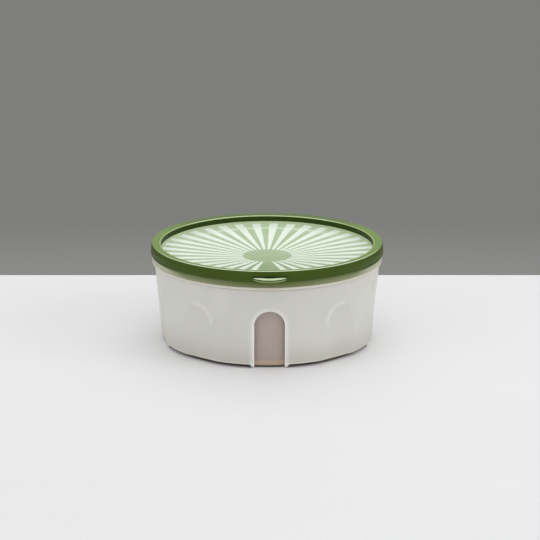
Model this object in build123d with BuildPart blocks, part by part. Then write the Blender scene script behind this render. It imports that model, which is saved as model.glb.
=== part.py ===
from build123d import *
import math
import os

# Round food storage container: a frosted tub hangs by its flange in a white casing with nine arches,
# and a green press-on lid with a dished, rayed panel closes it. Millimetres, +Z up. The origin is the
# middle of the footprint box at the table, and the thumb tab and the window face -Y.

# Outer casing
foot_height = 2.7
casing_height = 61.5
casing_bottom_radius = 83.8
casing_top_radius = 88.9
casing_wall = 2.0
casing_bottom_round = 1.9
casing_top_round = 0.8
lip_thickness = 2.2

# Arches round the casing: the first is the open window, the others are blind
arch_count = 9
arch_half_width = 11.7
arch_crown_height = 39.0
arch_depth = 1.9
arch_crown_bevel = 4.8
arch_side_bevel = 11.8
window_round = 1.1

# Feet under the casing
jamb_foot_width = 2.8
blind_foot_half_angle = 5.0
foot_inset = 0.4
footed_arches = (2, 4, 5, 7)

# Inner tub
tub_clearance = 1.2
tub_wall = 1.6
tub_ground_gap = 0.4
tub_foot_height = 4.5
tub_foot_ledge = 0.4
tub_foot_clearance = 0.6
tub_corner_round = 4.0
shoulder_height = 4.0
shoulder_clearance = 0.5
flange_seat_gap = 0.1
flange_thickness = 1.8
flange_overhang = 1.9
flange_width = 3.2
flange_round = 0.8
rim_height = 11.4
rim_wall = 1.6
bead_size = 1.4
bead_height = 4.0
bead_depth = 3.1

# Lid ring
skirt_gap = 0.2
bead_clearance = 0.3
skirt_lip = 1.7
skirt_lip_height = 1.8
skirt_bulge = 0.9
skirt_undercut = 1.0
lid_seat_gap = 0.1
plug_clearance = 0.2
ring_edge_rise = 2.25
ring_edge_inset = 0.1
ring_edge_round = 1.0
ring_top_width = 6.8
ring_top_drop = 1.45
inner_wall_drop = 4.0
plug_length = 8.4
plug_lip = 0.9

# Thumb tab
tab_width = 25.4
tab_reach = 5.6
tab_thickness = 2.4
tab_drop = 4.85
tab_round = 0.6

# Lid panel and its rays
panel_thickness = 1.2
panel_rim_width = 0.6
panel_rim_height = 2.1
panel_dish_depth = 4.9
panel_disc_radius = 19.2
ledge_width = 2.2
ledge_thickness = 1.2
ray_count = 34
ray_pitch = 10.15
ray_half_angle = 2.6
ray_thickness = 0.45
ray_edge_margin = 0.5

# The lid's front reaches further than its back by the tab, so the common centre line of all the round
# pieces stands half of that behind the middle of the footprint.
centre_y = tab_reach / 2
centre_line = Axis((0, centre_y, 0), (0, 0, 1))
section_plane = Plane(origin=(0, centre_y, 0), x_dir=(1, 0, 0), z_dir=(0, -1, 0))

# Heights and radii that the pieces share
casing_top = foot_height + casing_height
wall_slope = (casing_top_radius - casing_bottom_radius) / casing_height
draft_angle = math.atan(wall_slope)
arch_step = 360 / arch_count
tub_base_radius = casing_bottom_radius - casing_wall - arch_depth - tub_clearance
tub_foot_radius = tub_base_radius + tub_foot_ledge
tub_floor = tub_ground_gap + tub_foot_height
lip_radius = tub_foot_radius + tub_foot_clearance
window_crown_height = arch_crown_height + arch_crown_bevel
flange_bottom = casing_top + flange_seat_gap
flange_top = flange_bottom + flange_thickness
flange_radius = casing_top_radius + flange_overhang
rim_outer_radius = flange_radius - flange_width
rim_inner_radius = rim_outer_radius - rim_wall
rim_top = flange_top + rim_height
bead_radius = rim_outer_radius + bead_size
skirt_bottom = flange_top + skirt_gap
skirt_inner_radius = bead_radius + bead_clearance
skirt_radius = skirt_inner_radius + skirt_lip
channel_roof = rim_top + lid_seat_gap
channel_radius = skirt_inner_radius + skirt_undercut
plug_radius = rim_inner_radius - plug_clearance
ring_edge_radius = skirt_radius - ring_edge_inset
ring_edge_height = channel_roof + ring_edge_rise
inner_wall_radius = ring_edge_radius - ring_top_width
inner_wall_top = ring_edge_height - ring_top_drop
panel_rim_top = inner_wall_top - inner_wall_drop
panel_edge_radius = inner_wall_radius - panel_rim_width
panel_edge_height = panel_rim_top - panel_rim_height
panel_disc_height = panel_edge_height - panel_dish_depth
panel_slope = panel_dish_depth / (panel_edge_radius - panel_disc_radius)
panel_seat_radius = inner_wall_radius - ledge_width
panel_seat = panel_edge_height - panel_slope * (panel_edge_radius - panel_seat_radius) - panel_thickness

os.makedirs("parts", exist_ok=True)


def casing_radius(height):
    """Outer radius of the casing's plain wall at a height above the table."""
    return casing_bottom_radius + wall_slope * (height - foot_height)


def panel_height(radius):
    """Height of the lid panel's conical upper face at a radius."""
    return panel_disc_height + panel_slope * (radius - panel_disc_radius)


def corner(sketch, radius, height):
    """The corner of a section nearest to a radius and a height."""
    return sketch.vertices().sort_by_distance((radius, height))[0]


def arch_outline(half_width, crown):
    """An arch with straight legs that run down past the casing's lower edge."""
    spring = crown - half_width
    foot = -foot_height - lip_thickness
    with BuildSketch() as arch:
        with BuildLine():
            Polyline((-half_width, spring), (-half_width, foot), (half_width, foot), (half_width, spring))
            ThreePointArc((half_width, spring), (0, crown), (-half_width, spring))
        make_face()
    return arch.sketch


def wall_plane(inset):
    """The plane that touches the wall at the front and leans with its draft, set in by a distance."""
    start = (0, centre_y - casing_bottom_radius, foot_height)
    outward = (0, -math.cos(draft_angle), -math.sin(draft_angle))
    return Plane(origin=start, x_dir=(1, 0, 0), z_dir=outward).offset(-inset)


def arch_pocket(inset):
    """A blind arch at the front: a flat floor inside a bevel that is steep at the crown and fades out
    down the sides, sunk in a wall that lies in from the casing's face by the inset."""
    rise = 1.2
    with BuildPart() as pocket:
        with BuildSketch(wall_plane(inset + arch_depth)):
            add(arch_outline(arch_half_width, arch_crown_height))
        with BuildSketch(wall_plane(inset + arch_depth * (1 - rise))):
            add(
                arch_outline(
                    arch_half_width + arch_side_bevel * rise,
                    arch_crown_height + arch_crown_bevel * rise,
                )
            )
        loft(ruled=True)
    return pocket.part


# Hollow of the casing: the inner wall follows the arches, so that the wall is even all round, and
# the lower edge turns in to a lip that stands close round the tub's foot ring.
blind_arches = range(1, arch_count)
lip_top = foot_height + lip_thickness
with BuildPart() as casing_hollow:
    with BuildSketch(section_plane):
        with BuildLine():
            Polyline(
                (0, lip_top),
                (casing_radius(lip_top) - casing_wall, lip_top),
                (casing_radius(casing_top + casing_wall) - casing_wall, casing_top + casing_wall),
                (0, casing_top + casing_wall),
                close=True,
            )
        make_face()
    revolve(axis=centre_line)
    for arch in blind_arches:
        add(arch_pocket(casing_wall).rotate(centre_line, arch * arch_step), mode=Mode.SUBTRACT)
    with BuildSketch(Plane.XY.offset(foot_height - lip_thickness)):
        with Locations((0, centre_y)):
            Circle(lip_radius)
    extrude(amount=2 * lip_thickness)


def foot_sector(middle, half_angle):
    """The plan of one foot between the lip and the rounded edge, about an angle from the front."""
    inner = lip_radius + foot_inset
    outer = casing_bottom_radius - casing_bottom_round
    with BuildSketch() as foot:
        with BuildLine():
            outer_arc = CenterArc((0, 0), outer, -half_angle, 2 * half_angle)
            inner_arc = CenterArc((0, 0), inner, -half_angle, 2 * half_angle)
            Line(inner_arc @ 0, outer_arc @ 0)
            Line(inner_arc @ 1, outer_arc @ 1)
        make_face()
    return foot.sketch.moved(Location((0, centre_y, 0), (0, 0, middle - 90)))


# Feet of the casing: short sectors let into the lip, one each side of the window and one under every
# second blind arch.
jamb_angle = math.degrees(math.asin(arch_half_width / casing_bottom_radius))
jamb_foot_half_angle = math.degrees(jamb_foot_width / casing_bottom_radius) / 2
jamb_foot_middle = jamb_angle + jamb_foot_half_angle
with BuildPart() as casing_feet:
    with BuildSketch():
        for arch in footed_arches:
            add(foot_sector(arch * arch_step, blind_foot_half_angle))
        add(foot_sector(jamb_foot_middle, jamb_foot_half_angle))
        add(foot_sector(-jamb_foot_middle, jamb_foot_half_angle))
    extrude(amount=foot_height + lip_thickness / 2)


def window_border(edge):
    """True for the edges where the window breaks through the casing's outer face."""
    middle = edge.center()
    radius = math.hypot(middle.X, middle.Y - centre_y)
    inside_arch = abs(middle.X) < arch_half_width + casing_wall and middle.Y < 0
    on_outer_face = abs(radius - casing_radius(middle.Z)) < casing_wall / 4
    return inside_arch and on_outer_face and middle.Z < casing_top - arch_half_width


# Outer casing: a conical shell with a rounded lower edge, eight blind arches and the open window, whose
# crown reaches as high as the bevel of the others.
with BuildPart() as outer_casing:
    with BuildSketch(section_plane):
        with BuildLine():
            Polyline(
                (0, foot_height),
                (casing_bottom_radius, foot_height),
                (casing_top_radius, casing_top),
                (0, casing_top),
                close=True,
            )
        make_face()
    revolve(axis=centre_line)
    for arch in blind_arches:
        add(arch_pocket(0).rotate(centre_line, arch * arch_step), mode=Mode.SUBTRACT)
    fillet(outer_casing.edges().group_by(Axis.Z)[0], radius=casing_bottom_round)
    fillet(outer_casing.edges().group_by(Axis.Z)[-1], radius=casing_top_round)
    with BuildSketch(wall_plane(2 * casing_wall + lip_thickness)):
        add(arch_outline(arch_half_width, window_crown_height))
    extrude(amount=4 * casing_wall, mode=Mode.SUBTRACT)
    add(casing_hollow.part, mode=Mode.SUBTRACT)
    fillet(outer_casing.edges().filter_by(window_border), radius=window_round)
    add(casing_feet.part)
outer_casing.part.label = "outer_casing"
export_step(outer_casing.part, "parts/outer_casing.step")

# Inner tub: one frosted moulding, turned from a single section. The flange rests on the casing's top
# edge, the rim above it carries the snap bead, and the wall follows the casing's draft down to a floor
# that stands on a foot ring.
tub_wall_top = casing_top - shoulder_height
tub_shoulder_radius = tub_base_radius + wall_slope * (tub_wall_top - tub_floor)
flange_root_radius = casing_radius(casing_top) - casing_wall - shoulder_clearance
inner_floor = tub_floor + tub_wall
with BuildPart() as inner_tub:
    with BuildSketch(section_plane) as section:
        with BuildLine():
            Polyline(
                (0, tub_floor),
                (tub_foot_radius - tub_wall, tub_floor),
                (tub_foot_radius - tub_wall, tub_ground_gap),
                (tub_foot_radius, tub_ground_gap),
                (tub_foot_radius, tub_floor),
                (tub_base_radius, tub_floor),
                (tub_shoulder_radius, tub_wall_top),
                (flange_root_radius, flange_bottom),
                (flange_radius, flange_bottom),
                (flange_radius, flange_top),
                (rim_outer_radius, flange_top),
                (rim_outer_radius, flange_top + bead_height - bead_size),
                (bead_radius, flange_top + bead_height),
                (bead_radius, flange_top + bead_height + bead_depth - bead_size),
                (rim_outer_radius, flange_top + bead_height + bead_depth),
                (rim_outer_radius, rim_top),
                (rim_inner_radius, rim_top),
                (rim_inner_radius, flange_top),
                (tub_shoulder_radius - tub_wall, tub_wall_top + tub_wall),
                (tub_base_radius - tub_wall + wall_slope * tub_wall, inner_floor),
                (0, inner_floor),
                close=True,
            )
        make_face()
        fillet(corner(section, tub_base_radius - tub_wall, inner_floor), radius=tub_corner_round)
        fillet(corner(section, flange_radius, flange_top), radius=flange_round)
        fillet(corner(section, flange_radius, flange_bottom), radius=flange_round)
        fillet(corner(section, rim_outer_radius, rim_top), radius=rim_wall / 3)
        fillet(corner(section, rim_inner_radius, rim_top), radius=rim_wall / 3)
    revolve(axis=centre_line)
inner_tub.part.label = "inner_tub"
export_step(inner_tub.part, "parts/inner_tub.step")


def tab_border(edge):
    """True for the long curved edges round the thumb tab."""
    middle = edge.center()
    return middle.Y < centre_y - skirt_radius - skirt_bulge - tab_reach / 4 and edge.length > tab_width


# Lid ring: a channel turned over the tub's rim, with a top that falls inwards, a bulged skirt outside, a
# leaning plug inside and a ledge on the plug for the panel. The thumb tab grows out of the skirt in front.
skirt_middle = (skirt_bottom + ring_edge_height) / 2
plug_foot_radius = plug_radius - plug_lip
plug_bottom = channel_roof - plug_length
with BuildPart() as lid_rim:
    with BuildSketch(section_plane) as section:
        with BuildLine():
            ThreePointArc(
                (skirt_radius, skirt_bottom),
                (skirt_radius + skirt_bulge, skirt_middle),
                (ring_edge_radius, ring_edge_height),
            )
            Polyline(
                (ring_edge_radius, ring_edge_height),
                (inner_wall_radius, inner_wall_top),
                (inner_wall_radius, panel_seat),
                (panel_seat_radius, panel_seat),
                (panel_seat_radius, panel_seat - ledge_thickness),
                (plug_foot_radius - plug_lip, panel_seat - ledge_thickness),
                (plug_foot_radius - plug_lip, plug_bottom),
                (plug_foot_radius, plug_bottom),
                (plug_radius, channel_roof - plug_clearance - bead_depth),
                (plug_radius, channel_roof),
                (channel_radius - skirt_undercut, channel_roof),
                (channel_radius, channel_roof - 2 * skirt_undercut),
                (channel_radius, skirt_bottom + skirt_lip_height + skirt_undercut),
                (skirt_inner_radius, skirt_bottom + skirt_lip_height),
                (skirt_inner_radius, skirt_bottom),
                (skirt_radius, skirt_bottom),
            )
        make_face()
        fillet(corner(section, ring_edge_radius, ring_edge_height), radius=ring_edge_round)
    revolve(axis=centre_line)
    tab_root = centre_y - skirt_radius
    tab_top = ring_edge_height - tab_drop
    with BuildSketch(Plane.XY.offset(tab_top - tab_thickness)):
        with BuildLine():
            Line((-tab_width / 2, tab_root), (tab_width / 2, tab_root))
            ThreePointArc(
                (tab_width / 2, tab_root),
                (0, centre_y - skirt_radius - skirt_bulge - tab_reach),
                (-tab_width / 2, tab_root),
            )
        make_face()
    extrude(amount=tab_thickness)
    fillet(lid_rim.edges().filter_by(tab_border), radius=tab_round)
lid_rim.part.label = "lid_rim"
export_step(lid_rim.part, "parts/lid_rim.step")

# Lid panel: a shallow dished cone with a flat round centre and an upturned rim, which fits close inside
# the ring's inner wall. Its flat underside there lies on the ledge.
with BuildPart() as lid_panel:
    with BuildSketch(section_plane):
        with BuildLine():
            Polyline(
                (0, panel_disc_height - panel_thickness),
                (panel_disc_radius, panel_disc_height - panel_thickness),
                (panel_seat_radius, panel_seat),
                (inner_wall_radius, panel_seat),
                (inner_wall_radius, panel_rim_top),
                (panel_edge_radius, panel_rim_top),
                (panel_edge_radius, panel_edge_height),
                (panel_disc_radius, panel_disc_height),
                (0, panel_disc_height),
                close=True,
            )
        make_face()
    revolve(axis=centre_line)
lid_panel.part.label = "lid_panel"
export_step(lid_panel.part, "parts/lid_panel.step")

# Lid rays: thin white wedges bonded on the panel between its plain centre and its edge. They are
# spaced evenly from the back round both sides, which leaves one wide plain gap above the thumb tab.
ray_outer_radius = panel_edge_radius - ray_edge_margin
ray_reach = panel_edge_radius * 2
ray_half_spread = ray_reach * math.tan(math.radians(ray_half_angle))
with BuildPart() as lid_rays:
    with BuildSketch(section_plane):
        with BuildLine():
            Polyline(
                (panel_disc_radius, panel_disc_height),
                (ray_outer_radius, panel_height(ray_outer_radius)),
                (ray_outer_radius, panel_height(ray_outer_radius) + ray_thickness),
                (panel_disc_radius, panel_disc_height + ray_thickness),
                close=True,
            )
        make_face()
    revolve(axis=centre_line)
    with BuildSketch(Plane.XY.offset(panel_disc_height - panel_dish_depth)):
        with Locations((0, centre_y)):
            with PolarLocations(
                radius=0,
                count=ray_count,
                start_angle=90 - ray_pitch * (ray_count - 1) / 2,
                angular_range=ray_pitch * (ray_count - 1),
                endpoint=True,
            ):
                Polygon((0, 0), (ray_reach, -ray_half_spread), (ray_reach, ray_half_spread), align=None)
    extrude(amount=3 * panel_dish_depth, mode=Mode.INTERSECT)
lid_rays.part.label = "lid_rays"
export_step(lid_rays.part, "parts/lid_rays.step")
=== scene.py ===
import math

import bmesh
import bpy
import numpy as np
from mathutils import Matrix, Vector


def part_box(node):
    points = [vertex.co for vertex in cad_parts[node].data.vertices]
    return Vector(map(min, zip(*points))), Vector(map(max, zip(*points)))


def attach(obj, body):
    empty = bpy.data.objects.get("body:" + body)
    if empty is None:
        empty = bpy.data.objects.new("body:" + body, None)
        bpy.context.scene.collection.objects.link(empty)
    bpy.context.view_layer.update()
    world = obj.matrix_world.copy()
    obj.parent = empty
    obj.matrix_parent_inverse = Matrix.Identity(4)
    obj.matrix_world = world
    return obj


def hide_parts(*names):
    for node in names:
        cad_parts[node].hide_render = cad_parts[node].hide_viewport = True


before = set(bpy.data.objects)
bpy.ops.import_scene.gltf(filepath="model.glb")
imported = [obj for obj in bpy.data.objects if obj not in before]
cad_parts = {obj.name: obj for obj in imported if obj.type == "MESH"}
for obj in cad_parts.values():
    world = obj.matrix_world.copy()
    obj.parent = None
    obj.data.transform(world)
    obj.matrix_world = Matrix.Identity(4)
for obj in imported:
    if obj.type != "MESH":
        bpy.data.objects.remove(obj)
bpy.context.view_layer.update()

# Outer casing
# The white shell that the tub hangs in: one polypropylene moulding with a steady draft. Nine arches
# are sunk in its wall, the front one is cut through as a window, and it stands on six short feet.
millimetre = 0.001
tub_low, tub_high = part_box("inner_tub")
centre_y = (tub_low.y + tub_high.y) / 2

foot_height = 2.7
casing_top = 64.2
casing_bottom_radius = 83.8
casing_top_radius = 88.9
casing_wall = 2.0
casing_bottom_round = 1.9
casing_top_round = 0.8
casing_inner_round = 0.4
lip_radius = 79.7
lip_top = 4.9
lip_round = 0.4
lip_root_round = 0.9
wall_slope = (casing_top_radius - casing_bottom_radius) / (casing_top - foot_height)
draft = math.atan(wall_slope)

arch_count = 9
arch_step = math.tau / arch_count
arch_half_width = 11.7
arch_crown = 39.0
arch_spring = arch_crown - arch_half_width
arch_depth = 1.9
arch_side_bevel = 11.8
arch_crown_bevel = 4.8
arch_softness = 0.35

window_spring = arch_spring + arch_crown_bevel
window_round_width = 4.5
window_round_depth = 1.3
window_inner_round = 0.5

foot_middles = np.radians([-160, -76, 76, 160])
foot_half_angles = np.radians([5.0, 6.5, 6.5, 5.0])
jamb_foot_width = 2.8
foot_ramp = 1.8
foot_crown = 0.5

# The mesh's first row of plain wall, the height where its upper part starts, and its counts of rows
# beside the window's legs, beside its crown and above it, and of columns in a bay
first_row = 5.6
patch_top = 54.0
leg_rows = 20
side_rows = 14
high_rows = 8
bay_columns = 48


def place(radius, angle, height):
    """Points in metres from cylinder coordinates in millimetres about the pieces' common centre line,
    where angle 0 faces the front and grows towards the right-hand side."""
    radius, angle, height = np.broadcast_arrays(radius, angle, height)
    return np.stack(
        [
            radius * np.sin(angle) * millimetre,
            centre_y - radius * np.cos(angle) * millimetre,
            height * millimetre,
        ],
        axis=-1,
    )


def soft_max(first, second, softness):
    """The larger of two values, with the kink between them rounded: their mean plus half the root of
    their squared difference and the squared softness."""
    return 0.5 * (first + second + np.sqrt((first - second) ** 2 + softness**2))


def soft_step(value):
    """0 below 0, 1 above 1, and three squares less two cubes between."""
    share = np.clip(value, 0, 1)
    return share * share * (3 - 2 * share)


def circle_arc(centre, radius, start, end, steps):
    """Points of a section, radius and height, on a circle from one angle in degrees to another."""
    turn = np.radians(np.linspace(start, end, steps + 1))
    return np.stack([centre[0] + radius * np.cos(turn), centre[1] + radius * np.sin(turn)], axis=-1)


sharp_angle = math.radians(38)


def join_grids(name, grids, merge=1e-7):
    """One mesh object from several grids of points. Each grid comes with two truths: whether its last row
    joins its first, and whether its last column joins its first. Its faces are the quads between
    neighbours, and points that meet are merged. A single row of points is one flat face."""
    points, faces, start = [], [], 0
    for grid, wrap_rows, wrap_columns in grids:
        rows, columns = grid.shape[:2]
        index = start + np.arange(rows * columns).reshape(rows, columns)
        if rows == 1:
            faces.append(index.tolist())
        else:
            if wrap_rows:
                index = np.concatenate([index, index[:1]], axis=0)
            if wrap_columns:
                index = np.concatenate([index, index[:, :1]], axis=1)
            quads = np.stack([index[:-1, :-1], index[:-1, 1:], index[1:, 1:], index[1:, :-1]], axis=-1)
            faces.append(quads.reshape(-1, 4).tolist())
        points.append(grid.reshape(-1, 3))
        start += rows * columns
    mesh = bpy.data.meshes.new(name)
    mesh.from_pydata(np.concatenate(points), [], [face for group in faces for face in group])
    shell = bmesh.new()
    shell.from_mesh(mesh)
    bmesh.ops.remove_doubles(shell, verts=shell.verts, dist=merge)
    bmesh.ops.recalc_face_normals(shell, faces=shell.faces)
    shell.to_mesh(mesh)
    shell.free()
    mesh.shade_smooth()
    mesh.set_sharp_from_angle(angle=sharp_angle)
    made = bpy.data.objects.new(name, mesh)
    bpy.context.scene.collection.objects.link(made)
    return made


def wall_radius(height):
    """Radius of the casing's plain cone at a height: it grows evenly from the lower edge to the top."""
    return casing_bottom_radius + wall_slope * (height - foot_height)


def arch_relief(angle, height):
    """How far the blind arches sink the wall. Each has a flat floor on the plane that touches the wall,
    and a bevel whose share runs from 0 on the arch's outline to 1 on a wider one: across the legs it
    grows evenly sideways, and round the crown it solves for the circle through the point."""
    bay = np.round(angle / arch_step)
    local = angle - bay * arch_step
    across = np.abs(wall_radius(height) * np.sin(local))
    above = (height - foot_height) / math.cos(draft) - arch_spring
    sink = arch_side_bevel - arch_crown_bevel
    square = arch_side_bevel**2 - sink**2
    middle = 2 * (arch_half_width * arch_side_bevel - above * sink)
    rest = arch_half_width**2 - across**2 - above**2
    leg_share = (across - arch_half_width) / arch_side_bevel
    crown_share = (np.sqrt(middle**2 - 4 * square * rest) - middle) / (2 * square)
    share = np.where(above > -sink * leg_share, crown_share, leg_share)
    below_plane = arch_depth - soft_max(0, arch_depth * share, arch_softness)
    sagitta = wall_radius(height) * (1 - np.cos(local))
    relief = soft_max(0, below_plane - sagitta, arch_softness)
    return np.where(np.mod(bay, arch_count) == 0, 0, relief)


def foot_share(angle):
    """1 over a foot, 0 over the gaps between the feet, with a soft ramp at each side."""
    turned = np.angle(np.exp(1j * (angle[..., None] - foot_middles)))
    ramp = foot_ramp / casing_bottom_radius
    blind = soft_step((foot_half_angles - np.abs(turned)) / ramp + 0.5).max(axis=-1)
    jamb = math.asin(arch_half_width / casing_bottom_radius)
    jamb_end = jamb + jamb_foot_width / casing_bottom_radius
    beside_window = soft_step((jamb_end - np.abs(np.angle(np.exp(1j * angle)))) / ramp + 0.5)
    return np.maximum(blind, beside_window)


def shell_point(angle, height, depth):
    """A point that lies a depth inside the casing's cone, measured square to the wall."""
    radius = wall_radius(height) - depth * math.cos(draft)
    return place(radius, angle, height + depth * math.sin(draft))


def lower_edge(angle_at, inner_radius, outer_radius):
    """The casing's lower edge between its two walls: from the inner wall round a fillet to the lip's top,
    down the lip's inner face, out along the underside, up the rounded edge and along the wall's taper.
    Over a foot the underside comes down to the table, and rises a little again towards its outer edge.
    angle_at gives the columns' angles at a radius."""
    foot = foot_share(angle_at(0 * outer_radius + casing_bottom_radius))[:, None]
    low = foot_height * (1 - foot)
    outer_foot = low + foot_crown * foot
    inner, outer = inner_radius[:, None], outer_radius[:, None]
    root_turn = np.radians(np.linspace(-22.5, -90, 4))
    lip_turn = np.radians(np.linspace(90, 180, 4))
    edge_turn = np.radians(np.linspace(-90, 0, 7))
    share = np.array([1 / 3, 2 / 3])
    round_top = outer_foot + casing_bottom_round
    outer_low = outer - wall_slope * (first_row - round_top)
    radius = [
        inner + lip_root_round * (np.cos(root_turn) - 1),
        lip_radius + lip_round * (1 + np.cos(lip_turn)) + 0 * inner,
        lip_radius + lip_round * (1 + np.cos(lip_turn[::-1])) + 0 * inner,
        outer_low + casing_bottom_round * (np.cos(edge_turn) - 1),
        outer_low + (outer - outer_low) * share,
    ]
    height = [
        lip_top + lip_root_round * (1 + np.sin(root_turn)) + 0 * inner,
        lip_top + lip_round * (np.sin(lip_turn) - 1) + 0 * inner,
        low + lip_round * (1 - np.sin(lip_turn[::-1])),
        outer_foot + casing_bottom_round * (1 + np.sin(edge_turn)),
        round_top + (first_row - round_top) * share,
    ]
    radius, height = np.concatenate(radius, axis=1), np.concatenate(height, axis=1)
    return place(radius, angle_at(radius), height)


# Heights of the rows up the wall, shared by all the grids
spring_height = foot_height + window_spring * math.cos(draft)
wall_last = casing_top - casing_top_round
leg_heights = np.linspace(first_row, spring_height, leg_rows + 1)
side_heights = np.linspace(spring_height, patch_top, side_rows + 1)[1:]
high_heights = np.linspace(patch_top, wall_last, high_rows + 1)
low_heights = np.concatenate([leg_heights, side_heights])

# Upper part, all the way round: outer wall, rounded top edge and inner wall
ring_angles = np.arange(arch_count * bay_columns) * (arch_step / bay_columns) - arch_step / 2
angles, heights = np.meshgrid(ring_angles, high_heights, indexing="ij")
relief = arch_relief(angles, heights)
outer_wall = shell_point(angles, heights, relief)
inner_wall = shell_point(angles, heights, relief + casing_wall)[:, ::-1]
top_outer = circle_arc(
    (wall_radius(wall_last) - casing_top_round, wall_last), casing_top_round, 15, 90, 4
)
top_inner = circle_arc(
    (
        wall_radius(casing_top) - casing_wall * math.cos(draft) + casing_inner_round,
        casing_top - casing_inner_round,
    ),
    casing_inner_round,
    90,
    165,
    3,
)
top_edge = np.concatenate([top_outer, top_inner])
top_edge = place(top_edge[:, 0], ring_angles[:, None], top_edge[:, 1])
upper_part = np.concatenate([outer_wall, top_edge, inner_wall], axis=1)

# Lower part under the eight blind arches: inner wall, lower edge and outer wall
low_angles = arch_step / 2 + np.arange((arch_count - 1) * bay_columns + 1) * (arch_step / bay_columns)
angles, heights = np.meshgrid(low_angles, low_heights, indexing="ij")
relief = arch_relief(angles, heights)
inner_start = wall_radius(first_row) - (casing_wall + relief[:, 0]) * math.cos(draft)
outer_start = wall_radius(first_row) - relief[:, 0] * math.cos(draft)


def straight_columns(radius):
    """The lower part's columns keep their angle at every radius."""
    return low_angles if radius.ndim == 1 else low_angles[:, None] + 0 * radius


lower_part = np.concatenate(
    [
        shell_point(angles, heights, relief + casing_wall)[:, ::-1],
        lower_edge(straight_columns, inner_start, outer_start),
        shell_point(angles, heights, relief),
    ],
    axis=1,
)


def window_bay():
    """The bay with the window, as a profile carried along the arch's outline. Each line runs from the
    bay's border square to the outline, over the rounded edge, through the wall's thickness and back
    along the inner wall. Distances from the outline are close together near it."""
    side = np.full(leg_rows + 1 + side_rows, -arch_step / 2)
    top = np.linspace(-arch_step / 2, arch_step / 2, bay_columns + 1)[1:-1]
    border_angle = np.concatenate([side, top, -side])
    border_height = np.concatenate([low_heights, np.full(bay_columns - 1, patch_top), low_heights[::-1]])
    turn = np.linspace(math.pi, 0, 2 * side_rows + bay_columns + 1)
    legs = np.full(leg_rows, arch_half_width)
    outline_x = np.concatenate([-legs, arch_half_width * np.cos(turn), legs])
    outline_height = np.concatenate(
        [
            leg_heights[:-1],
            spring_height + arch_half_width * math.cos(draft) * np.sin(turn),
            leg_heights[:-1][::-1],
        ]
    )
    outline_angle = np.arcsin(outline_x / wall_radius(outline_height))
    reach = np.hypot(
        (border_angle - outline_angle) * wall_radius(border_height), border_height - outline_height
    )
    near = np.array([0, 0.12, 0.3, 0.55, 0.85, 1.2, 1.7, 2.3, 3.0, 3.8, 4.6])
    far = np.linspace(0, 1, 9)[1:]
    distance = np.concatenate(
        [np.broadcast_to(near, (reach.size, near.size)), near[-1] + (reach[:, None] - near[-1]) * far],
        axis=1,
    )
    share = distance / reach[:, None]

    def edge_depth(width, depth):
        """Depth of a quarter-ellipse edge at a distance from the outline."""
        inside = np.clip(1 - distance / width, 0, 1)
        return depth * (1 - np.sqrt(1 - inside**2))

    outer_depth = edge_depth(window_round_width, window_round_depth)
    inner_depth = casing_wall - edge_depth(window_inner_round, window_inner_round)
    reveal = np.linspace(window_round_depth, casing_wall - window_inner_round, 4)[1:-1]
    reveal = np.broadcast_to(reveal, (reach.size, reveal.size))
    depths = np.concatenate([outer_depth[:, ::-1], reveal, inner_depth], axis=1)
    shares = np.concatenate([share[:, ::-1], 0 * reveal, share], axis=1)
    height = outline_height[:, None] * (1 - shares) + border_height[:, None] * shares
    radius = wall_radius(height) - depths * math.cos(draft)
    angle = np.arcsin(outline_x[:, None] / radius) * (1 - shares) + border_angle[:, None] * shares
    lines = place(radius, angle, height + depths * math.sin(draft))
    return lines, share[0, ::-1], radius[0, : share.shape[1]], radius[0, -share.shape[1] :][::-1]


bay, jamb_share, jamb_outer, jamb_inner = window_bay()


def jamb_edge(side, row):
    """The lower edge from the bay's border to the window's jamb, on the left (-1) or right (1) side, and
    the flat end that closes it there. Its columns run square to the jamb beside it."""

    def angle_at(radius):
        share = jamb_share if radius.ndim == 1 else jamb_share[:, None]
        return side * (np.arcsin(arch_half_width / radius) * (1 - share) + arch_step / 2 * share)

    columns = jamb_share.size
    inner, outer = row[::-1][:columns], row[:columns]
    middle = lower_edge(angle_at, jamb_inner, jamb_outer)
    strip = np.concatenate([inner[:, None], middle, outer[:, None]], axis=1)
    return strip, np.concatenate([strip[-1], row[columns:-columns]])[None]


left_edge, left_end = jamb_edge(-1, bay[0])
right_edge, right_end = jamb_edge(1, bay[-1])
casing = join_grids(
    "outer_casing_shell",
    [
        (upper_part, True, False),
        (lower_part, False, False),
        (bay, False, False),
        (left_edge, False, False),
        (right_edge, False, False),
        (left_end, False, False),
        (right_end, False, False),
    ],
    merge=2e-5,
)
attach(casing, "casing")
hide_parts("outer_casing")

rim_width = 5.0
rim_offset = 1.2
rim_spread = 1.6
rim_share = 0.3
rim_fade = 6.0
rim_front_leg = 4.0
rim_side_leg = 30.0


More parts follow.
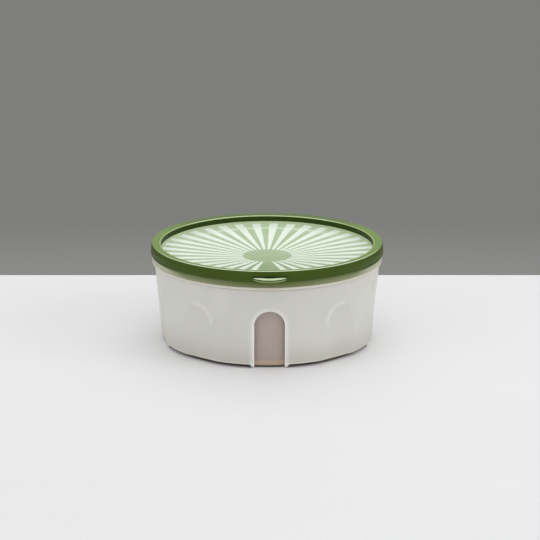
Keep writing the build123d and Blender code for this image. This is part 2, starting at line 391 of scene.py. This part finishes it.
def painted_rim_highlights(mesh):
    """A number per point that says how much lighter the plastic is painted there: a painted highlight
    along the arches' edges. Round the window it is 1 at the outline and gone at rim_width, squared
    between. On the blind arches it is a narrow bell-shaped band beside the outline, which fades down the
    legs. On the two arches beside the window, only the half nearer the front has it."""
    spots = np.empty(3 * len(mesh.vertices))
    mesh.vertices.foreach_get("co", spots)
    across, back, height = spots.reshape(-1, 3).T / millimetre
    back -= centre_y / millimetre
    angle = np.arctan2(across, -back)
    bay = np.round(angle / arch_step)
    beside = np.abs(wall_radius(height) * np.sin(angle - bay * arch_step))
    above = (height - foot_height) / math.cos(draft) - window_spring
    distance = np.hypot(beside, np.maximum(above, 0)) - arch_half_width
    window = np.clip(1 - distance / rim_width, 0, 1) ** 2
    band = rim_share * np.exp(-(((distance - rim_offset) / rim_spread) ** 2))
    forward = (np.abs(bay * arch_step) - np.abs(angle)) * wall_radius(height) / rim_fade
    front = soft_step(1 + above / rim_front_leg) * soft_step(1 + forward)
    blind = band * np.where(np.abs(bay) == 1, front, soft_step(1 + above / rim_side_leg))
    outside = np.hypot(across, back) > wall_radius(height) - arch_depth - casing_wall / 2
    rims = mesh.attributes.new("arch_rim", "FLOAT", "POINT")
    rims.data.foreach_set("value", np.where(outside, np.where(bay == 0, window, blind), 0))


painted_rim_highlights(casing.data)


class Value:
    """A number that varies over a surface. Arithmetic on it adds Math nodes to its material."""

    def __init__(self, nodes, socket):
        self.nodes = nodes
        self.socket = socket

    def math(self, operation, *others):
        """What a Math node makes of its operands."""
        made = self.nodes.node("ShaderNodeMath", {"operation": operation}, dict(enumerate(others)))
        return Value(self.nodes, made.outputs[0])

    def __add__(self, other):
        return self.math("ADD", self, other)

    __radd__ = __add__

    def __sub__(self, other):
        return self.math("SUBTRACT", self, other)

    def __rsub__(self, other):
        return self.math("SUBTRACT", other, self)

    def __mul__(self, other):
        return self.math("MULTIPLY", self, other)

    __rmul__ = __mul__

    def __truediv__(self, other):
        return self.math("DIVIDE", self, other)

    def size(self):
        """This without its sign."""
        return self.math("ABSOLUTE", self)

    def larger(self, other):
        """The larger of this and another value."""
        return self.math("MAXIMUM", self, other)

    def ramp(self, low, high):
        """0 where this is at low, 1 where it is at high, and a soft step between."""
        made = self.nodes.node(
            "ShaderNodeMapRange",
            {"interpolation_type": "SMOOTHSTEP"},
            {"Value": self, "From Min": low, "From Max": high},
        )
        return Value(self.nodes, made.outputs[0])


noise_shift = (0.731, 0.457, 0.293)


class Nodes:
    """A node tree under construction. Every node of a type comes from its one node method."""

    def __init__(self, tree):
        self.tree = tree
        tree.nodes.clear()

    def node(self, kind, settings=None, sockets=None):
        """Adds a node: its settings are set first, then each socket, by name or number, gets a number, a
        colour, a Value or another node's socket."""
        made = self.tree.nodes.new(kind)
        for name, setting in (settings or {}).items():
            setattr(made, name, setting)
        for name, given in (sockets or {}).items():
            given = getattr(given, "socket", given)
            if isinstance(given, bpy.types.NodeSocket):
                self.tree.links.new(given, made.inputs[name])
            else:
                made.inputs[name].default_value = given
        return made

    def place(self):
        """Object coordinates, which are the frame's own metres because every piece sits at the origin."""
        return self.node("ShaderNodeTexCoord").outputs["Object"]

    def noise(self, size, detail=2.0):
        """Cloudy noise from 0 to 1 whose blotches are a size in millimetres. It is shifted, so that the
        planes where its finer and coarser blotches line up don't run through the middle of a piece."""
        shifted = self.node(
            "ShaderNodeVectorMath", {"operation": "ADD"}, {0: self.place(), 1: noise_shift}
        )
        made = self.node(
            "ShaderNodeTexNoise",
            {},
            {"Vector": shifted.outputs[0], "Scale": 1 / (size * millimetre), "Detail": detail},
        )
        return Value(self, made.outputs[0])

    def attribute(self, name):
        """A number stored per point of the mesh."""
        made = self.node("ShaderNodeAttribute", {"attribute_name": name})
        return Value(self, made.outputs["Fac"])

    def along(self, axis):
        """Object coordinate in millimetres along an axis: 0 to the right, 1 to the back, 2 upwards."""
        parts = self.node("ShaderNodeSeparateXYZ", {}, {0: self.place()})
        return Value(self, parts.outputs[axis]) / millimetre

    def height(self):
        """Height above the table in millimetres."""
        return self.along(2)

    def across(self):
        """Distance from the plane through the tab and the window in millimetres."""
        return self.along(0).size()

    def ahead(self):
        """How far a point lies towards the front in millimetres."""
        return 0 - self.along(1)

    def radius(self):
        """Distance from the round pieces' centre line in millimetres."""
        flat = self.node(
            "ShaderNodeVectorMath", {"operation": "MULTIPLY"}, {0: self.place(), 1: (1, 1, 0)}
        )
        out = self.node(
            "ShaderNodeVectorMath",
            {"operation": "DISTANCE"},
            {0: flat.outputs[0], 1: (0, centre_y, 0)},
        )
        return Value(self, out.outputs[1]) / millimetre

    def mix(self, share, first, second):
        """A colour that goes from the first to the second as share goes from 0 to 1."""
        made = self.node("ShaderNodeMix", {"data_type": "RGBA"}, {0: share, 6: first, 7: second})
        return made.outputs[2]


def colour(red, green, blue):
    """A shader colour from its everyday 0 to 255 values: the display curve undone."""
    value = np.array([red, green, blue]) / 255
    linear = np.where(value <= 0.04045, value / 12.92, ((value + 0.055) / 1.055) ** 2.4)
    return (*linear.tolist(), 1.0)


def moulded_plastic(name, base, drift, roughness, grain=0.5, grain_depth=0.004, drift_size=34.0):
    """Injection-moulded plastic: a slow drift between two near colours, a roughness that wanders with
    it, and the fine grain of the mould's surface. Returns the material, its nodes, its shader and its
    colour."""
    material = bpy.data.materials.new(name)
    material.use_nodes = True
    nodes = Nodes(material.node_tree)
    output = nodes.node("ShaderNodeOutputMaterial")
    shader = nodes.node("ShaderNodeBsdfPrincipled")
    nodes.tree.links.new(shader.outputs[0], output.inputs[0])
    cloud = nodes.noise(drift_size, 3.0)
    smear = nodes.noise(drift_size / 6, 2.0)
    tint = nodes.mix(cloud.ramp(0.35, 0.65), colour(*base), colour(*drift))
    sheen = roughness + 0.10 * (cloud - 0.5) + 0.06 * (smear - 0.5)
    nodes.tree.links.new(sheen.socket, shader.inputs["Roughness"])
    bump = nodes.node(
        "ShaderNodeBump",
        {},
        {"Strength": 1.0, "Distance": grain_depth * millimetre, "Height": nodes.noise(grain, 2.0)},
    )
    nodes.tree.links.new(bump.outputs[0], shader.inputs["Normal"])
    return material, nodes, shader, tint


material, nodes, shader, tint = moulded_plastic(
    "white_polypropylene", (216, 215, 209), (212, 211, 205), 0.42
)
height = nodes.height()
# Painted shade darkens the wall towards the table, a painted highlight lightens the band just above the
# rounded lower edge, and painted highlights lighten the arches' edges where arch_rim says
shade_by_table = 0.64 * height.ramp(24.0, 3.0)
lower_edge_highlight = height.ramp(4.6, 3.9) * height.ramp(2.7, 3.2)
tint = nodes.mix(shade_by_table, tint, colour(194, 190, 180))
tint = nodes.mix(lower_edge_highlight, tint, colour(229, 226, 218))
tint = nodes.mix(nodes.attribute("arch_rim"), tint, colour(252, 251, 248))
nodes.tree.links.new(tint, shader.inputs["Base Color"])
shader.inputs["Subsurface Weight"].default_value = 0.12
shader.inputs["Subsurface Radius"].default_value = (0.0022, 0.0019, 0.0015)
shader.inputs["Subsurface Scale"].default_value = 1.0
casing.data.materials.append(material)

# Inner tub
# The vessel itself, turned in one section in frosted natural polypropylene. Its flange hangs on the
# casing's top edge, the rim above carries the snap bead, and a foot ring stiffens its floor.
tub_section = [
    (0, 4.9, 0),
    (77.5, 4.9, 0.5),
    (77.5, 0.4, 0.6),
    (79.1, 0.4, 0.7),
    (79.1, 4.9, 0.4),
    (78.7, 5.1, 0.3),
    (83.29, 60.2, 8.0),
    (86.4, 64.3, 0.3),
    (90.8, 64.3, 0.85),
    (90.8, 66.7, 0.85),
    (87.6, 66.7, 0.4),
    (87.6, 68.7, 0.4),
    (89.0, 70.1, 0.9),
    (89.0, 71.8, 0.9),
    (87.6, 73.2, 0.4),
    (87.6, 77.5, 0.7),
    (86.0, 77.5, 0.7),
    (86.0, 66.1, 1.2),
    (81.69, 61.8, 6.0),
    (77.23, 6.5, 4.2),
    (0, 6.5, 0),
]


def rounded_section(corners, closed=False, steps=6):
    """A section's corners, given as radius, height and corner radius, each replaced by a circular arc that
    touches both neighbouring edges. The arc's centre lies on the corner's bisector at the corner radius
    over the sine of half its angle, and its points turn evenly from one touching point to the other."""
    corners = np.array(corners, float)
    at, rounds = corners[:, :2], corners[:, 2]
    to_last = np.roll(at, 1, axis=0) - at
    to_next = np.roll(at, -1, axis=0) - at
    to_last /= np.maximum(np.linalg.norm(to_last, axis=1, keepdims=True), 1e-9)
    to_next /= np.maximum(np.linalg.norm(to_next, axis=1, keepdims=True), 1e-9)
    half = np.arccos(np.clip((to_last * to_next).sum(axis=1), -1, 1)) / 2
    bisector = to_last + to_next
    bisector /= np.maximum(np.linalg.norm(bisector, axis=1, keepdims=True), 1e-9)
    centre = at + bisector * (rounds / np.sin(half))[:, None]
    first = at + to_last * (rounds / np.tan(half))[:, None] - centre
    last = at + to_next * (rounds / np.tan(half))[:, None] - centre
    sweep = math.pi - 2 * half
    share = np.linspace(0, 1, steps + 1)[None, :, None]
    bend = np.maximum(np.sin(sweep), 1e-9)[:, None, None]
    arcs = (
        np.sin((1 - share) * sweep[:, None, None]) * first[:, None]
        + np.sin(share * sweep[:, None, None]) * last[:, None]
    ) / bend + centre[:, None]
    plain = (rounds == 0)[:, None, None]
    points = np.where(plain, at[:, None], arcs)
    if not closed:
        points[0], points[-1] = at[0], at[-1]
    keep = np.ones((len(corners), steps + 1), bool)
    keep[rounds == 0, 1:] = False
    return points[keep]


def turned(section, columns=288):
    """A section carried round the centre line: one column of points for each even step of angle."""
    angles = np.arange(columns) * (math.tau / columns)
    return place(section[:, 0], angles[:, None], section[:, 1])


tub = join_grids("inner_tub_vessel", [(turned(rounded_section(tub_section)), True, False)], merge=1e-6)
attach(tub, "tub")
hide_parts("inner_tub")

material, nodes, shader, tint = moulded_plastic(
    "frosted_polypropylene", (198, 181, 174), (192, 176, 169), 0.38, grain=0.35
)
height = nodes.height()
flange_and_rim = height.ramp(60.0, 64.0)
foot_ring = 0.8 * height.ramp(5.2, 4.8)
foot_shade = height.ramp(2.2, 1.2)
tint = nodes.mix(flange_and_rim, tint, colour(228, 223, 210))
tint = nodes.mix(foot_ring, tint, colour(205, 182, 158))
# Painted shade darkens the foot ring's lowest band, in the gap under the casing
tint = nodes.mix(foot_shade, tint, colour(78, 66, 50))
nodes.tree.links.new(tint, shader.inputs["Base Color"])
shader.inputs["Alpha"].default_value = 0.86
tub.data.materials.append(material)

# Lid ring
# The green press-on ring of the lid, moulded in a soft plastic: a channel turned over the tub's rim,
# with a bulged skirt outside, a leaning plug inside and a ledge for the panel. The thumb tab grows out
# of the skirt at the front.


def arc_through(start, middle, end, steps):
    """Points of a section on the circle through three points, found where the perpendicular bisectors of
    the two chords meet, turning evenly from start to end."""
    start, middle, end = (np.array(point, float) for point in (start, middle, end))
    chords = np.array([middle - start, end - middle])
    halves = np.array([(start + middle) / 2, (middle + end) / 2])
    centre = np.linalg.solve(chords, (chords * halves).sum(axis=1))
    angles = np.unwrap([math.atan2(*(point - centre)[::-1]) for point in (start, middle, end)])
    radius = np.linalg.norm(start - centre)
    turn = np.linspace(angles[0], angles[2], steps + 1)
    return centre + radius * np.stack([np.cos(turn), np.sin(turn)], axis=-1)


crown_slope = 0.138
ring_columns = 360
ring_section = np.concatenate(
    [
        rounded_section(
            [
                (90.2, 66.9, 0),
                (90.8, 66.9, 0.2),
                (91.3, 70.95, 0.3),
                (90.95, 71.3, 0.12),
                (91.85, 71.65, 0.2),
                (91.85, 72.15, 0.25),
                (91.45, 72.5, 0.15),
                (91.5, 72.9, 0),
            ],
            steps=4,
        ),
        arc_through((91.55, 73.2), (91.72, 75.3), (91.3, 78.3), 12),
        rounded_section(
            [
                (91.15, 78.75, 0),
                (90.85, 79.78, 0.5),
                (84.1, 78.85, 0.4),
                (84.1, 71.0, 0.1),
                (81.9, 71.0, 0.2),
                (81.9, 69.8, 0.2),
                (84.0, 69.8, 0.2),
                (84.0, 69.2, 0.15),
                (84.9, 69.2, 0.3),
                (85.8, 74.3, 1.5),
                (85.8, 77.6, 0.3),
                (89.3, 77.6, 0.3),
                (90.3, 75.6, 0.6),
                (90.3, 69.4, 0.6),
                (89.3, 68.4, 0.4),
                (89.3, 66.9, 0.2),
                (90.1, 66.9, 0),
            ],
            steps=4,
        ),
    ]
)

tab_half_width = 12.7
tab_chord = 91.0
tab_front = 97.5
tab_bottom = 72.0
tab_length = 5.8
tab_middle = 1.9
tab_squeeze = 0.33
tab_columns = 49
tab_least_room = 0.02
skirt_radius = 91.2
skirt_overlap = 0.4


def thumb_tab():
    """The crescent tab as a section carried sideways: at each place across, its reach is that of the
    circle through the tab's two ends and its front. Along the section, a groove parts the top from the
    skirt, the top falls a little towards a nose, and a second groove runs below the nose. Where the
    reach is short, the section is shortened to the room before the skirt. It is squeezed towards its
    middle height with the square of the place across, and its ends lie a little inside the skirt."""
    sagitta = tab_front - tab_chord
    arc_radius = (tab_half_width**2 + sagitta**2) / (2 * sagitta)
    turn = np.linspace(-1, 1, tab_columns) * math.asin(tab_half_width / arc_radius)
    across = arc_radius * np.sin(turn)
    reach = tab_front - arc_radius * (1 - np.cos(turn))
    nose = rounded_section(
        [
            (-tab_length, 2.5, 0),
            (-5.2, 2.5, 0.15),
            (-4.7, 2.95, 0.2),
            (-0.7, 2.65, 0.3),
            (0.0, 2.5, 0.15),
            (0.0, 2.2, 0.1),
            (-0.5, 2.05, 0.1),
            (-0.5, 1.75, 0.1),
            (0.0, 1.5, 0.15),
            (0.0, 0.4, 0.25),
            (-0.4, 0.0, 0.2),
            (-tab_length, 0.0, 0),
        ],
        steps=4,
    )
    room = np.clip((reach - skirt_radius) / tab_length, tab_least_room, 1)
    depth = reach[:, None] + nose[:, 0] * room[:, None]
    depth[:, [0, -1]] = skirt_radius - skirt_overlap
    squeeze = 1 - tab_squeeze * (across[:, None] / tab_half_width) ** 2
    return np.stack(
        [
            across[:, None] * millimetre + 0 * depth,
            centre_y - depth * millimetre,
            (tab_bottom + tab_middle + (nose[:, 1] - tab_middle) * squeeze) * millimetre,
        ],
        axis=-1,
    )


tab_grid = thumb_tab()
ring = join_grids(
    "lid_ring",
    [
        (turned(ring_section, ring_columns), True, True),
        (tab_grid, False, True),
        (tab_grid[:1], False, False),
        (tab_grid[-1:], False, False),
    ],
    merge=1e-6,
)
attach(ring, "lid")
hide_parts("lid_rim")

material, nodes, shader, tint = moulded_plastic("green_ring_plastic", (66, 85, 26), (62, 81, 24), 0.42)
height, radius = nodes.height(), nodes.radius()
across, ahead = nodes.across(), nodes.ahead()

# Painted light on the skirt's thin lip: lighter towards the lower edge and at the two sides
lip = radius.ramp(88.5, 89.5) * height.ramp(71.4, 71.2)
lip_end = across.ramp(60, 82)
lip_light = nodes.mix(across.ramp(5, 60), colour(92, 103, 56), colour(114, 126, 86))
low_light = nodes.mix(across.ramp(10, 60), colour(122, 130, 88), colour(142, 148, 112))
low_share = (1 - lip_end) * height.ramp(70.5, 67.0) + lip_end * height.ramp(71.0, 70.0)
tint = nodes.mix(lip, tint, nodes.mix(lip_end, lip_light, tint))
tint = nodes.mix(lip * low_share, tint, nodes.mix(lip_end, low_light, colour(178, 184, 156)))

# Painted shade darkens the inner wall, painted light makes the crown lighter, more so towards the front,
# and painted highlights pale its inner edge and its outer edge at the front
inner_wall = radius.ramp(84.9, 84.4) * height.ramp(70.8, 71.0)
crown = (height - crown_slope * radius).ramp(66.75, 67.0)
inner_edge = crown * radius.ramp(85.1, 84.8)
front_edge = radius.ramp(89.9, 90.2) * height.ramp(79.3, 79.45) * ahead.ramp(10, 75)
crown_light = nodes.mix(ahead.ramp(-30, -80), colour(108, 136, 66), colour(88, 108, 56))
pale_edge_highlight = nodes.mix(across.ramp(50, 72), colour(200, 216, 168), colour(160, 180, 124))
tint = nodes.mix(inner_wall, tint, colour(44, 64, 14))
tint = nodes.mix(crown, tint, crown_light)
tint = nodes.mix(inner_edge, tint, pale_edge_highlight)
tint = nodes.mix(front_edge, tint, colour(214, 228, 200))

# Painted shade where the tab leaves the skirt and in its groove, and painted light on the tab, palest on
# its top
tab_root = ahead.ramp(80, 84) * across.ramp(13.4, 12.9) * radius.ramp(92.6, 92.2)
tab_shade = tab_root * height.ramp(74.3, 74.5) * height.ramp(75.9, 75.6)
tab = radius.ramp(92.0, 92.3) * height.ramp(74.9, 74.8)
tab_groove = tab * height.ramp(73.45, 73.6) * height.ramp(74.2, 74.1)
tab_top = tab * height.ramp(74.2, 74.3)
tint = nodes.mix(tab_shade, tint, colour(26, 36, 6))
tint = nodes.mix(tab, tint, colour(130, 149, 96))
tint = nodes.mix(tab_groove, tint, colour(40, 56, 14))
tint = nodes.mix(tab_top, tint, colour(206, 220, 182))
nodes.tree.links.new(tint, shader.inputs["Base Color"])
shader.inputs["Specular IOR Level"].default_value = 0.12
ring.data.materials.append(material)

# Lid panel
# The see-through disc of the lid: a thin pale green moulding, dished down to a flat round centre. Its
# edge is bonded on the ring's ledge and turns up into a low rim against the ring's inner wall.
panel_edge_radius = 83.5
panel_edge_height = 72.3
disc_radius = 19.2
disc_height = 67.4
panel_slope = (panel_edge_height - disc_height) / (panel_edge_radius - disc_radius)

panel_section = rounded_section(
    [
        (0, 66.2, 0),
        (disc_radius, 66.2, 2.0),
        (81.9, 71.02, 0),
        (84.06, 71.02, 0.2),
        (84.06, 74.4, 0.15),
        (83.6, 74.4, 0.15),
        (83.45, 72.35, 0.35),
        (disc_radius, disc_height, 2.0),
        (0, disc_height, 0),
    ]
)
panel = join_grids("lid_panel_disc", [(turned(panel_section), True, False)], merge=1e-6)
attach(panel, "lid")
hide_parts("lid_panel")

material, nodes, shader, tint = moulded_plastic(
    "pale_green_panel_plastic", (150, 179, 126), (146, 175, 122), 0.3, grain=0.6, drift_size=50
)
radius, across, ahead = nodes.radius(), nodes.across(), nodes.ahead()

# Painted light makes the panel lighter towards the back, at the two sides and near its rim, and a painted
# highlight line runs round the back part.
behind = ahead.ramp(0, -50)
rim = radius.ramp(83.3, 83.5).larger(0.6 * radius.ramp(79.5, 82.0))
back_highlight_line = ahead.ramp(-50, -68) * radius.ramp(71.2, 71.8) * radius.ramp(73.8, 73.2)
tint = nodes.mix(ahead.ramp(45, -30), tint, colour(172, 196, 152))
tint = nodes.mix(0.4 * across.ramp(15, 50), tint, colour(190, 207, 176))
tint = nodes.mix(behind * radius.ramp(64, 77), tint, colour(198, 218, 183))
tint = nodes.mix(rim, tint, colour(200, 217, 178))
tint = nodes.mix(back_highlight_line, tint, colour(236, 252, 220))
nodes.tree.links.new(tint, shader.inputs["Base Color"])
shader.inputs["Alpha"].default_value = 0.88
panel.data.materials.append(material)

# Lid rays
# Thirty-four wedges of white plastic, bonded on the panel like a sunburst and spaced evenly from the
# back round both sides, which leaves one wide plain gap above the thumb tab.
ray_count = 34
ray_pitch = math.radians(10.15)
ray_half_angle = math.radians(2.6)
ray_thickness = 0.45
ray_outer_radius = 83.2
ray_edge = 0.18
ray_sink = 0.05
ray_middle_rows = np.arange(28, 77, 8)


def sunburst():
    """Every ray as a grid: its section, a flat strip with rounded upper edges, is carried out along its
    own middle angle, as wide at each radius as the ray's angle makes it. It stands on the disc's slope
    and reaches a little into it, and its two ends are lower by the width of the rounded edge."""
    middles = math.pi + (np.arange(ray_count) - (ray_count - 1) / 2) * ray_pitch
    inner_rows = [disc_radius, disc_radius + ray_edge]
    outer_rows = [ray_outer_radius - ray_edge, ray_outer_radius]
    radius = np.concatenate([inner_rows, ray_middle_rows, outer_rows])
    ends = np.ones(radius.size)
    ends[[0, -1]] = 1 - ray_edge / ray_thickness
    shoulder = ray_thickness - ray_edge
    side = np.array([-1, -1, -1, 1, 1, 1])
    inset = np.array([0, 0, ray_edge, ray_edge, 0, 0])
    lift = np.array([-ray_sink, shoulder, ray_thickness, ray_thickness, shoulder, -ray_sink])
    half_width = radius * math.sin(ray_half_angle)
    offset = side * (half_width[:, None] - inset)
    base = disc_height + panel_slope * (radius - disc_radius)
    height = base[:, None] + np.where(lift > 0, lift * ends[:, None], lift)
    angle = middles[:, None, None] + np.arcsin(offset / radius[:, None])
    return place(radius[:, None], angle, height)


wedges = sunburst()
sides = [(wedge, False, True) for wedge in wedges]
ends = [(wedge[row][None], False, False) for wedge in wedges for row in (0, -1)]
rays = join_grids("lid_rays_sunburst", sides + ends, merge=1e-6)
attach(rays, "lid")
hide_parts("lid_rays")

material, nodes, shader, tint = moulded_plastic(
    "white_ray_plastic", (231, 242, 229), (226, 238, 224), 0.35, drift_size=20
)
nodes.tree.links.new(tint, shader.inputs["Base Color"])
rays.data.materials.append(material)

# Table, backdrop and light
# A pale table top whose far edge is close behind the container, a plain grey wall far behind it, and
# four soft lamps: one above, a weak one high at the back, and two at the front on the left and right.
table_turn = math.radians(-1.35)
table_far_edge = 0.190
table_half_width = 2.0
table_reach = 3.0
table_thickness = 0.03

table_section = rounded_section(
    [
        (-table_reach, -table_thickness, 0.004),
        (table_far_edge, -table_thickness, 0.004),
        (table_far_edge, 0.0, 0.002),
        (-table_reach, 0.0, 0.004),
    ],
    closed=True,
)
across = np.array([-table_half_width, table_half_width])[:, None]
depth, height = table_section[:, 0], table_section[:, 1]
table_grid = np.stack(
    [
        across * math.cos(table_turn) - depth * math.sin(table_turn),
        across * math.sin(table_turn) + depth * math.cos(table_turn),
        height + 0 * across,
    ],
    axis=-1,
)
table = join_grids(
    "table_top",
    [(table_grid, False, True), (table_grid[:1], False, False), (table_grid[-1:], False, False)],
    merge=1e-6,
)
material, nodes, shader, tint = moulded_plastic(
    "white_table", (234, 234, 236), (232, 232, 234), 0.6, grain=1.5, grain_depth=0.002, drift_size=300
)
nodes.tree.links.new(tint, shader.inputs["Base Color"])
shader.inputs["Specular IOR Level"].default_value = 0.1
table.data.materials.append(material)

world = bpy.data.worlds.new("studio")
bpy.context.scene.world = world
world.use_nodes = True
nodes = Nodes(world.node_tree)
direction = nodes.node("ShaderNodeTexCoord").outputs["Generated"]
parts = nodes.node("ShaderNodeSeparateXYZ", {}, {0: direction}).outputs
away, rise = Value(nodes, parts[1]), Value(nodes, parts[2])

# The camera and reflections see the wall, with a bright screen high above it
screen_white = (1.5, 1.5, 1.48, 1.0)
wall = nodes.mix(rise.ramp(-0.267, -0.243), colour(139, 139, 137), colour(126, 127, 125))
screen = nodes.mix(rise.ramp(0.05, 0.6), wall, screen_white)
path = nodes.node("ShaderNodeLightPath")
seen = Value(nodes, path.outputs["Is Camera Ray"])
seen = seen.larger(path.outputs["Is Glossy Ray"]).larger(path.outputs["Is Transmission Ray"])

# The pieces are lit by a soft room, which is a little darker behind and below
front_low, front_high = (0.62, 0.62, 0.61, 1.0), (0.72, 0.72, 0.71, 1.0)
back_low, back_high = (0.45, 0.45, 0.445, 1.0), (0.64, 0.64, 0.63, 1.0)
upward = rise.ramp(-0.1, 0.7)
front = nodes.mix(upward, front_low, front_high)
back = nodes.mix(upward, back_low, back_high)
room = nodes.mix(away.ramp(-0.2, 0.5), front, back)
plain = nodes.node("ShaderNodeBackground", {}, {"Color": screen, "Strength": 1.0})
soft = nodes.node("ShaderNodeBackground", {}, {"Color": room, "Strength": 1.0})
both = nodes.node("ShaderNodeMixShader", {}, {0: seen, 1: soft.outputs[0], 2: plain.outputs[0]})
nodes.node("ShaderNodeOutputWorld", {}, {0: both.outputs[0]})


def softbox(name, place_at, width, depth, power, in_gloss=True):
    """A rectangular studio lamp at a place, turned to face the container. The camera doesn't see it, and
    glossy surfaces show it only if in_gloss is true."""
    lamp = bpy.data.lights.new(name, "AREA")
    lamp.shape = "RECTANGLE"
    lamp.size, lamp.size_y = width, depth
    lamp.energy = power
    made = bpy.data.objects.new(name, lamp)
    made.location = place_at
    east, north, up = place_at
    made.rotation_euler = (math.atan2(math.hypot(east, north), up), 0, math.atan2(east, -north))
    made.visible_camera = False
    made.visible_glossy = in_gloss
    bpy.context.scene.collection.objects.link(made)


softbox("lamp_above", (0.1, -0.15, 1.65), 1.8, 1.4, 6.5)
softbox("lamp_behind", (0.1, 1.1, 1.3), 1.6, 0.8, 3, in_gloss=False)
softbox("lamp_left", (-1.5, -0.7, 0.9), 0.9, 0.9, 3, in_gloss=False)
softbox("lamp_right", (1.6, -0.6, 0.9), 0.9, 0.9, 6, in_gloss=False)

# Camera
# A long lens about two metres in front of the container, looking down on it by fifteen degrees.
camera_data = bpy.data.cameras.new("camera")
camera_data.lens = 166.93
camera_data.sensor_width = 36.0
camera = bpy.data.objects.new("camera", camera_data)
camera.location = (-0.0428, -1.9114, 0.5831)
camera.rotation_euler = (math.radians(74.6), 0, math.radians(-1.35))
bpy.context.scene.collection.objects.link(camera)
bpy.context.scene.camera = camera
bpy.context.scene.view_settings.view_transform = "Standard"
